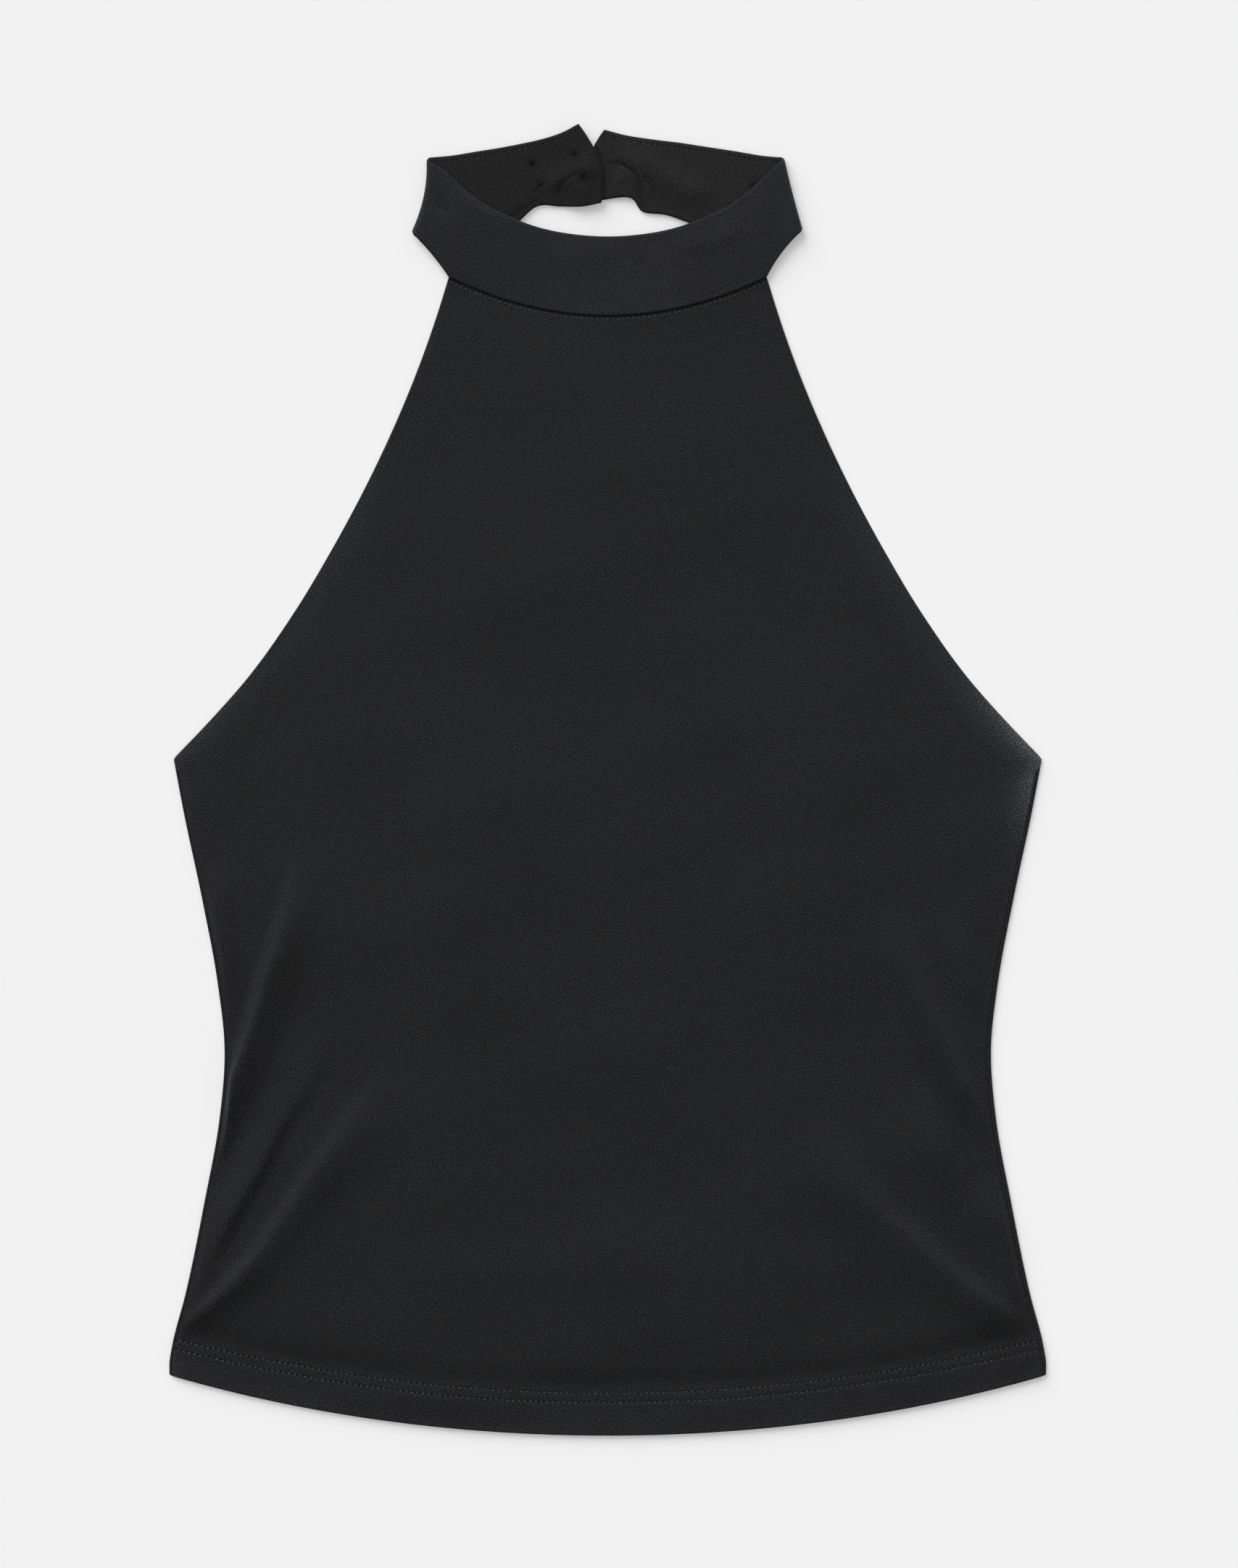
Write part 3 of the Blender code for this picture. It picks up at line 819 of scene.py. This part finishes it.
def collar_middle():
    """The middle of the whole band, from its left end round the front to its right end."""
    ends = [1.0 - step * 0.25 for step in BAND_STEPS]
    back_shares = [*spaced(0.0, 0.97, 105), *reversed(ends)]
    front_shares = [*spaced(-1.0, -SEWN_SHARE, 11), *spaced(-SEWN_SHARE, SEWN_SHARE, 82)[1:]]
    front_shares += spaced(SEWN_SHARE, 1.0, 11)[1:]
    turns = spaced(10.0, 170.0, 17)
    return np.array([
        *back_band(COLLAR_BACK_LEFT, LEFT_FOLD, back_shares[::-1]),
        *turn_rows(LEFT_FOLD, turns[::-1]),
        *front_band(front_shares),
        *turn_rows(RIGHT_FOLD, turns),
        *back_band(COLLAR_BACK_RIGHT, RIGHT_FOLD, back_shares),
    ]) + (0.0, 0.0, BACK_REST_Z)


def band_normals(middle):
    """Unit vectors from the facing's side of the band to the outer ply's side."""
    normals = np.cross(np.gradient(middle, axis=1), np.gradient(middle, axis=0))
    return normals / np.linalg.norm(normals, axis=-1, keepdims=True)


# The two plies thin to this far from the band's middle along their edges
EDGE_MEET = 0.04


def collar_ply(name, middle, side, tone_and_painted_light, material):
    """One ply of the band, on this side of its middle. It thins to a soft edge all round."""
    length = running(middle, 0)
    depth = running(middle, 1)
    from_top = rounded(depth, 1.1)
    from_low = rounded(depth[:, -1:] - depth, 0.7)
    from_end = rounded(np.minimum(length, length[-1:] - length), 0.8)
    shut = np.minimum(np.minimum(from_top, from_low), from_end)[..., None]
    normals = band_normals(middle)
    meet = side * EDGE_MEET
    near = meet + (side * 0.5 * GAP - meet) * shut
    far = meet + (side * BAND_HALF - meet) * shut
    cut = np.stack([length.mean(axis=1, keepdims=True) + 0 * depth, depth], -1)
    return cloth_mesh(name, middle + far * normals, middle + near * normals, cut, cut, tone_and_painted_light, material)


collar = collar_middle()
# The facing's topstitching: how far it runs under the top edge, and its step from stitch to stitch
EDGE_STITCH = 2.6
EDGE_PITCH = 2.5
outer_jersey = jersey("collar crepe jersey", (0.0119, 0.0125, 0.0139), grain=0.85)
facing_jersey = jersey("facing crepe jersey", (0.0091, 0.0093, 0.0101), grain=0.85,
                       sewn_rows=[(EDGE_STITCH, EDGE_PITCH)])

# Painted shade darkens the outer ply where it turns in to the neck seam
from_seam = (1.0 - np.array(BAND_SHARES)) * COLLAR_HEIGHT
painted_seam_shade = 1.0 - 0.45 * np.exp(-((from_seam / 0.6) ** 2))
outer = collar_ply("collar_outer_cloth", collar, 1.0, np.ones(collar.shape[:2]) * painted_seam_shade, outer_jersey)

# Painted shade darkens the facing's left half and its right half is a little lightened, and painted shade
# darkens its pinches and the cloth round the thread tacks.
# It lies open behind the neck over this share of the band at each end.
TACKS = ((-35.2, 285.1), (-31.4, 275.4), (-15.7, 289.1), (-11.4, 279.4), (67.2, 274.4))
OPEN_SHARE = 0.3
band_x, band_y, _ = np.moveaxis(collar, -1, 0)
along_band = np.array(spaced(0.0, 1.0, len(collar)))
halves_painted_light_and_shade = np.interp(along_band, (0.36, 0.64), (0.80, 1.08))[:, None]
open_back = (np.minimum(along_band, 1.0 - along_band) < OPEN_SHARE)[:, None]
# Painted shade in the pinched creases and round each thread tack, only where the facing lies open
painted_shade = 0.60 * creases_at(band_x, band_y, BACK_PINCHES)
for x, y in TACKS:
    painted_shade -= 0.75 * np.exp(-(((band_x - x) ** 2 + (band_y - y) ** 2) / 2.2**2))
facing_painted_light_and_shade = halves_painted_light_and_shade * (1.0 + np.maximum(painted_shade, -0.85) * open_back)
facing = collar_ply("collar_facing_cloth", collar, -1.0, facing_painted_light_and_shade, facing_jersey)
for piece, node, slot in ((outer, "collar_outer", "collar_jersey"),
                          (facing, "collar_facing", "facing_jersey")):
    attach(piece, "root")
    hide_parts(node)

# Machine stitching in black polyester thread: two parallel rows round the hem, a row just below the neck
# seam, and a row inside the collar under its top edge. Each stitch is a short soft bead sunk into the cloth.


def thread_material(name, tone, gloss):
    """Black polyester thread with a low lustre, and the twist of its strands as a fine bump."""
    material, shader = new_material(name)
    tree = material.node_tree
    place = NodeValue(tree).node("ShaderNodeTexCoord", output="Object")
    fleck = place.noise(0.5, 1.0)
    fibre = place.noise(0.14, 1.0)
    shade = place.node("ShaderNodeVectorMath", {"operation": "SCALE"},
                       {0: (tone, tone, 1.04 * tone), "Scale": 1 + fleck * 1.2})
    bump = place.node("ShaderNodeBump", inputs={"Height": fibre, "Strength": 0.5, "Distance": 0.1 * MM})
    tree.links.new(shade.socket, shader.inputs["Base Color"])
    tree.links.new(bump.socket, shader.inputs["Normal"])
    shader.inputs["Roughness"].default_value = 0.45
    shader.inputs["Specular IOR Level"].default_value = gloss
    return material


def stitching_tree():
    """Stitches at even steps along a line, each slanted and a little uneven. Sizes are in metres."""
    tree = bpy.data.node_groups.new("stitching", "GeometryNodeTree")
    face = tree.interface
    face.new_socket("Row", in_out="INPUT", socket_type="NodeSocketGeometry")
    for label in ("Pitch", "Stitch length", "Stitch width", "Stitch height", "Slant", "Unevenness"):
        face.new_socket(label, in_out="INPUT", socket_type="NodeSocketFloat")
    face.new_socket("Seed", in_out="INPUT", socket_type="NodeSocketInt")
    face.new_socket("Thread", in_out="INPUT", socket_type="NodeSocketMaterial")
    face.new_socket("Stitches", in_out="OUTPUT", socket_type="NodeSocketGeometry")
    row = NodeValue(tree).node("NodeGroupInput")
    curve = row.node("GeometryNodeMeshToCurve", inputs={"Mesh": row.beside("Row")})
    points = row.node("GeometryNodeCurveToPoints", {"mode": "LENGTH"},
                      {"Curve": curve, "Length": row.beside("Pitch")})
    upright = row.node("GeometryNodeInputNamedAttribute", {"data_type": "FLOAT_VECTOR"}, {"Name": "up"},
                       "Attribute")
    raised = row.node("FunctionNodeAlignRotationToVector", {"axis": "Z"}, {"Vector": upright})
    aligned = row.node("FunctionNodeAlignRotationToVector", {"axis": "X", "pivot_axis": "Z"},
                       {"Rotation": raised, "Vector": points.beside("Tangent")})
    bead = row.node("GeometryNodeMeshUVSphere", inputs={"Segments": 8, "Rings": 6, "Radius": 0.5})
    size = row.node("ShaderNodeCombineXYZ", inputs={
        "X": row.beside("Stitch height"), "Y": row.beside("Stitch width"), "Z": row.beside("Stitch length")})
    along_x = row.node("GeometryNodeTransform", inputs={
        "Geometry": bead, "Rotation": (0.0, np.pi / 2, 0.0), "Scale": size})
    least = 1 - row.beside("Unevenness")
    most = 1 + row.beside("Unevenness")
    scale = row.node("FunctionNodeRandomValue", {"data_type": "FLOAT"},
                     {"Min": least, "Max": most, "Seed": row.beside("Seed")}, "Value")
    placed = row.node("GeometryNodeInstanceOnPoints", inputs={
        "Points": points, "Instance": along_x, "Rotation": aligned, "Scale": scale})
    sway = row.node("FunctionNodeRandomValue", {"data_type": "FLOAT"}, {"Min": least, "Max": most}, "Value")
    turn = row.node("ShaderNodeCombineXYZ", inputs={"Z": row.beside("Slant") * sway})
    slanted = row.node("GeometryNodeRotateInstances", inputs={"Instances": placed, "Rotation": turn})
    real = row.node("GeometryNodeRealizeInstances", inputs={"Geometry": slanted})
    soft = row.node("GeometryNodeSetShadeSmooth", inputs={"Geometry": real})
    finished = row.node("GeometryNodeSetMaterial",
                        inputs={"Geometry": soft, "Material": row.beside("Thread")})
    tree.links.new(finished.socket, tree.nodes.new("NodeGroupOutput").inputs["Stitches"])
    return tree


Stitching = namedtuple("Stitching", "pitch length width height slant unevenness seed")
thread = thread_material("black thread", 0.021, 0.35)
stitching = stitching_tree()


def made_plain(name, maker):
    """What an object's modifiers or bevel make of it, as a plain mesh in its place."""
    evaluated = maker.evaluated_get(bpy.context.evaluated_depsgraph_get())
    piece = in_scene(name, bpy.data.meshes.new_from_object(evaluated))
    bpy.data.objects.remove(maker)
    return piece


def sew(name, rows, sizes):
    """Stitch along each row, a pair of its points and the directions that stand up from the cloth there."""
    points = np.concatenate([line for line, _ in rows]) * MM
    ups = np.concatenate([up for _, up in rows])
    starts = np.cumsum([0] + [len(line) for line, _ in rows])
    edges = [(k, k + 1) for a, b in zip(starts, starts[1:]) for k in range(a, b - 1)]
    mesh = bpy.data.meshes.new(name)
    mesh.from_pydata(points.tolist(), edges, [])
    up = mesh.attributes.new("up", "FLOAT_VECTOR", "POINT")
    up.data.foreach_set("vector", ups.astype(np.float32).ravel())
    line = in_scene(name + "_line", mesh)
    modifier = line.modifiers.new("stitching", "NODES")
    modifier.node_group = stitching
    values = {
        "Pitch": sizes.pitch * MM, "Stitch length": sizes.length * MM, "Stitch width": sizes.width * MM,
        "Stitch height": sizes.height * MM, "Slant": float(np.radians(sizes.slant)),
        "Unevenness": sizes.unevenness, "Seed": sizes.seed, "Thread": thread,
    }
    for socket in stitching.interface.items_tree:
        if socket.in_out == "INPUT" and socket.name in values:
            modifier[socket.identifier] = values[socket.name]
    piece = made_plain(name, line)
    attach(piece, "root")


def straight_up(line, direction=1.0):
    return np.tile((0.0, 0.0, direction), (len(line), 1))


def grid_row(face, y_sides, y_side, skipped, raise_z):
    """The row of a panel's points at this level, without a few at both of its ends."""
    index = int(np.argmin(np.abs(np.array(y_sides) - y_side)))
    return face[index, skipped:-skipped] + (0.0, 0.0, raise_z)


hem_sizes = Stitching(STITCH_PITCH, 1.25, 0.80, 0.42, 14.0, 0.18, 3)
front_hem = [grid_row(front_face, front_levels(), HEM_Y + row, FIRST_SEWN, 0.06) for row in HEM_ROWS]
sew("front_hem_stitches", [(line, straight_up(line)) for line in front_hem], hem_sizes)

back_hem = [grid_row(back_face, back_levels(), HEM_Y + row, BACK_FIRST_SEWN, -0.02) for row in HEM_ROWS]
sew("back_hem_stitches", [(line, straight_up(line, -1.0)) for line in back_hem],
    hem_sizes._replace(height=0.3, seed=5))

neck_line = grid_row(front_face, front_levels(), NECK_Y - NECK_STITCH, FIRST_SEWN, 0.04)
sew("neck_seam_stitches", [(neck_line, straight_up(neck_line))],
    Stitching(NECK_PITCH, 1.2, 0.65, 0.38, 8.0, 0.18, 8))

# The collar's row lies on the facing, sunk a little, and stops short of both ends of the band
EDGE_SUNK = 0.06
EDGE_SKIPPED = 4
edge_line = []
edge_ups = []
for depths, points, normals in zip(running(collar, 1), collar, -band_normals(collar)):
    spot = np.array([np.interp(EDGE_STITCH, depths, column) for column in points.T])
    normal = np.array([np.interp(EDGE_STITCH, depths, column) for column in normals.T])
    edge_line.append(spot + normal * (BAND_HALF - EDGE_SUNK))
    edge_ups.append(normal)
edge_row = [np.array(values)[EDGE_SKIPPED:-EDGE_SKIPPED] for values in (edge_line, edge_ups)]
sew("collar_edge_stitches", [edge_row], Stitching(EDGE_PITCH, 1.1, 0.38, 0.22, 5.0, 0.15, 12))

# Thread tacks inside the back of the neck. Each is a few stitches of the same thread, crossed and pulled
# tight. Four hold something down on the side that faces the surface, and the fifth is by the right fold.

LOOSE_END = ((-31.8, 275.0), (-33.0, 273.2), (-34.6, 272.4), (-35.1, 271.4))
THREAD_RADIUS = 0.21
TACK_TURNS = 15
TACK_SEED = 21
# Rows of points at each end of the band that lie open behind the neck
OPEN_ROWS = 100


def facing_level(x, y):
    """The height of the facing where it lies open behind the neck."""
    points = np.concatenate([collar[:OPEN_ROWS], collar[-OPEN_ROWS:]]).reshape(-1, 3)
    nearest = points[np.argmin((points[:, 0] - x) ** 2 + (points[:, 1] - y) ** 2)]
    return float(nearest[2]) + BAND_HALF


def tack_path(x, y, chance):
    """A thread's way to and fro across a tack."""
    path = []
    for step in range(TACK_TURNS):
        bearing = 2.4 * step + chance.uniform(-0.5, 0.5)
        reach = chance.uniform(0.8, 2.0)
        there = (x + reach * np.cos(bearing), y + reach * np.sin(bearing))
        path.append((*there, facing_level(*there) + chance.uniform(-0.05, 0.35)))
    return path


def thread_tacks():
    chance = np.random.default_rng(TACK_SEED)
    line = bpy.data.curves.new("thread_tacks", "CURVE")
    line.dimensions = "3D"
    line.bevel_depth = THREAD_RADIUS * MM
    line.bevel_resolution = 1
    line.use_fill_caps = True
    loose = [(x, y, facing_level(x, y) + 0.2) for x, y in LOOSE_END]
    for path in [*(tack_path(x, y, chance) for x, y in TACKS), loose]:
        spline = line.splines.new("POLY")
        spline.points.add(len(path) - 1)
        for point, place in zip(spline.points, path):
            point.co = (*(np.array(place) * MM), 1.0)
    piece = made_plain("thread_tacks", in_scene("tack_lines", line))
    piece.data.materials.clear()
    # The tacks' thread is a darker copy of the black thread, as painted shade
    piece.data.materials.append(thread_material("pulled thread", 0.007, 0.08))
    piece.data.shade_smooth()
    return piece


tacks = thread_tacks()
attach(tacks, "root")

# Floor, light and camera. A pale matt surface under soft studio light that comes mostly from beyond the neck.

FLOOR_HALF = 3.0
floor_mesh = bpy.data.meshes.new("floor")
corners = [(FLOOR_HALF * x, FLOOR_HALF * y, 0.0) for x, y in ((-1, -1), (1, -1), (1, 1), (-1, 1))]
floor_mesh.from_pydata(corners, [], [(0, 1, 2, 3)])
floor = in_scene("floor", floor_mesh)
paper, paper_shader = new_material("pale paper")
paper_shader.inputs["Base Color"].default_value = (0.86, 0.86, 0.86, 1.0)
paper_shader.inputs["Roughness"].default_value = 0.95
paper_shader.inputs["Specular IOR Level"].default_value = 0.0
floor_mesh.materials.append(paper)

Lamp = namedtuple("Lamp", "name bearing height strength spread shadows")
# Bearings are clockwise from the neck's side and heights are above the surface, both in degrees. The low
# lights graze the folds, and only the softbox and the overhead light cast shadows.
LAMPS = (
    Lamp("main softbox", -38.0, 30.0, 2.36, 50.0, True),
    Lamp("low west light", -50.0, 14.0, 1.25, 14.0, False),
    Lamp("low east light", 42.0, 14.0, 1.90, 14.0, False),
    Lamp("overhead light", 0.0, 80.0, 0.25, 60.0, True),
)
for lamp in LAMPS:
    light = bpy.data.lights.new(lamp.name, "SUN")
    light.energy = lamp.strength
    light.angle = np.radians(lamp.spread)
    light.use_shadow = lamp.shadows
    holder = in_scene(lamp.name, light)
    holder.rotation_euler = (-np.radians(90.0 - lamp.height), 0.0, -np.radians(lamp.bearing))

STUDIO_FILL = 0.335
world = bpy.data.worlds.new("studio")
world.use_nodes = True
world.node_tree.nodes["Background"].inputs["Color"].default_value = (1.0, 1.0, 1.0, 1.0)
world.node_tree.nodes["Background"].inputs["Strength"].default_value = STUDIO_FILL
bpy.context.scene.world = world
bpy.context.scene.view_settings.view_transform = "Standard"

# The photograph is 2164 pixels high and looks straight down. Its scale holds at the level of the cloth's
# face, and its middle lies a little east of the garment's origin.
PHOTO_HEIGHT = 2164
MM_PER_PIXEL = 0.3342
CLOTH_LEVEL = 2.3
PHOTO_MIDDLE = (5.2, -1.7)
LENS = 100.0
SENSOR = 36.0
camera_data = bpy.data.cameras.new("camera")
camera_data.lens = LENS
camera_data.sensor_width = SENSOR
camera_data.clip_end = 50.0
camera = in_scene("camera", camera_data)
height = PHOTO_HEIGHT * MM_PER_PIXEL * LENS / SENSOR
camera.location = (PHOTO_MIDDLE[0] * MM, PHOTO_MIDDLE[1] * MM, (height + CLOTH_LEVEL) * MM)
bpy.context.scene.camera = camera
